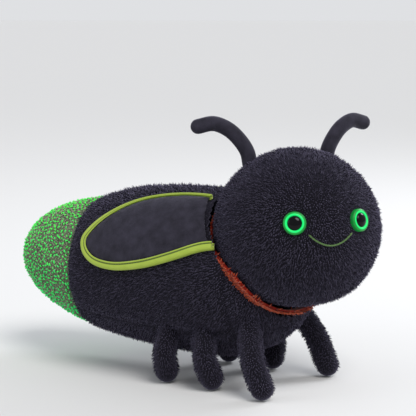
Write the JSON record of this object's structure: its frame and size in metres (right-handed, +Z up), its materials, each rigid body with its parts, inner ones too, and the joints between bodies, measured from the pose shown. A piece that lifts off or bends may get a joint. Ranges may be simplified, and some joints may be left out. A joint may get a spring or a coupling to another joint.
{
  "type": "stuffed animal",
  "caption": "Plush firefly that stands on six short legs, with a turned head, curled antennae, lifting wings, safety eyes and a tail that glows in the dark.",
  "frame": {"origin": "on the floor under the middle of the box round the whole toy", "axes": "+X forwards along the body, +Y to the animal's left, +Z up"},
  "size_m": [0.3774, 0.17, 0.2395],
  "materials": {
    "night_plush": "short dense plush pile, near-black indigo, clumping into small tufts",
    "velour": "close-cropped velour, dark indigo with a soft sheen",
    "glow_boucle": "curly pale sage pile shot through with afterglow yarn that shines green",
    "orange_plush": "short plush pile, orange red",
    "glow_ribbon": "folded satin ribbon, chartreuse, with a faint afterglow",
    "glow_plastic": "moulded afterglow plastic, glossy, spring green",
    "black_plastic": "polished black",
    "washer_plastic": "natural moulded, satin",
    "thread": "olive green satin stitch",
    "filling": "loose white polyester fibre"
  },
  "bodies": {
    "torso": {"body_side_left": "night_plush", "body_side_right": "night_plush", "belly_panel": "night_plush", "tail_left": "glow_boucle", "tail_right": "glow_boucle", "chest": "night_plush", "collar_ruff": "orange_plush", "body_filling": "filling"},
    "neck": {"collar": "orange_plush"},
    "head": {"head_face": "night_plush", "head_back": "night_plush", "head_filling": "filling", "smile_stitch": "thread", "eye_left": "black_plastic", "eye_ring_left": "glow_plastic", "eye_washer_left": "washer_plastic", "eye_right": "black_plastic", "eye_ring_right": "glow_plastic", "eye_washer_right": "washer_plastic"},
    "antenna_left": {"antenna_left": "velour", "antenna_left_filling": "filling"},
    "wing_left": {"wing_upper_left": "velour", "wing_under_left": "velour", "wing_wadding_left": "filling", "wing_ribbon_left": "glow_ribbon"},
    "leg_front_left": {"leg_front_left": "night_plush", "leg_front_left_filling": "filling"},
    "leg_middle_left": {"leg_middle_left": "night_plush", "leg_middle_left_filling": "filling"},
    "leg_rear_left": {"leg_rear_left": "night_plush", "leg_rear_left_filling": "filling"},
    "antenna_right": {"antenna_right": "velour", "antenna_right_filling": "filling"},
    "wing_right": {"wing_upper_right": "velour", "wing_under_right": "velour", "wing_wadding_right": "filling", "wing_ribbon_right": "glow_ribbon"},
    "leg_front_right": {"leg_front_right": "night_plush", "leg_front_right_filling": "filling"},
    "leg_middle_right": {"leg_middle_right": "night_plush", "leg_middle_right_filling": "filling"},
    "leg_rear_right": {"leg_rear_right": "night_plush", "leg_rear_right_filling": "filling"}
  },
  "joints": [
    {"name": "head_nod", "type": "hinge", "parent": "torso", "child": "neck", "pos_m": [0.11527, -0.00603, 0.142], "axis": [0.5736, 0.8191, 0], "range_deg": [-12, 12], "stiffness_Nm_per_rad": 0.3},
    {"name": "head_turn", "type": "hinge", "parent": "neck", "child": "head", "pos_m": [0.11527, -0.00603, 0.142], "axis": [0, 0, 1], "range_deg": [-25, 25], "stiffness_Nm_per_rad": 0.2},
    {"name": "antenna_left_flex", "type": "hinge", "parent": "head", "child": "antenna_left", "pos_m": [0.11913, 0.03522, 0.19746], "axis": [0.5736, 0.8191, 0], "range_deg": [-12, 12], "stiffness_Nm_per_rad": 0.03},
    {"name": "antenna_right_flex", "type": "hinge", "parent": "head", "child": "antenna_right", "pos_m": [0.07783, -0.02376, 0.19746], "axis": [0.5736, 0.8191, 0], "range_deg": [-12, 12], "stiffness_Nm_per_rad": 0.03},
    {"name": "leg_front_left_swing", "type": "hinge", "parent": "torso", "child": "leg_front_left", "pos_m": [0.09351, 0.03507, 0.06], "axis": [0, 1, 0], "range_deg": [-12, 12], "stiffness_Nm_per_rad": 0.6},
    {"name": "leg_front_right_swing", "type": "hinge", "parent": "torso", "child": "leg_front_right", "pos_m": [0.09351, -0.04712, 0.06], "axis": [0, 1, 0], "range_deg": [-12, 12], "stiffness_Nm_per_rad": 0.6},
    {"name": "leg_middle_left_swing", "type": "hinge", "parent": "torso", "child": "leg_middle_left", "pos_m": [0.05427, 0.04564, 0.05048], "axis": [0, 1, 0], "range_deg": [-12, 12], "stiffness_Nm_per_rad": 0.6},
    {"name": "leg_middle_right_swing", "type": "hinge", "parent": "torso", "child": "leg_middle_right", "pos_m": [0.05427, -0.0577, 0.05048], "axis": [0, 1, 0], "range_deg": [-12, 12], "stiffness_Nm_per_rad": 0.6},
    {"name": "leg_rear_left_swing", "type": "hinge", "parent": "torso", "child": "leg_rear_left", "pos_m": [0.01725, 0.04677, 0.04946], "axis": [0, 1, 0], "range_deg": [-12, 12], "stiffness_Nm_per_rad": 0.6},
    {"name": "leg_rear_right_swing", "type": "hinge", "parent": "torso", "child": "leg_rear_right", "pos_m": [0.01725, -0.05882, 0.04946], "axis": [0, 1, 0], "range_deg": [-12, 12], "stiffness_Nm_per_rad": 0.6},
    {"name": "wing_left_lift", "type": "hinge", "parent": "torso", "child": "wing_left", "pos_m": [0.06177, 0.04097, 0.147], "axis": [0.4023, 0.6296, -0.6646], "range_deg": [0, 40], "stiffness_Nm_per_rad": 0.04},
    {"name": "wing_right_lift", "type": "hinge", "parent": "torso", "child": "wing_right", "pos_m": [0.06177, -0.05303, 0.147], "axis": [-0.4023, 0.6296, 0.6646], "range_deg": [0, 40], "stiffness_Nm_per_rad": 0.04}
  ]
}
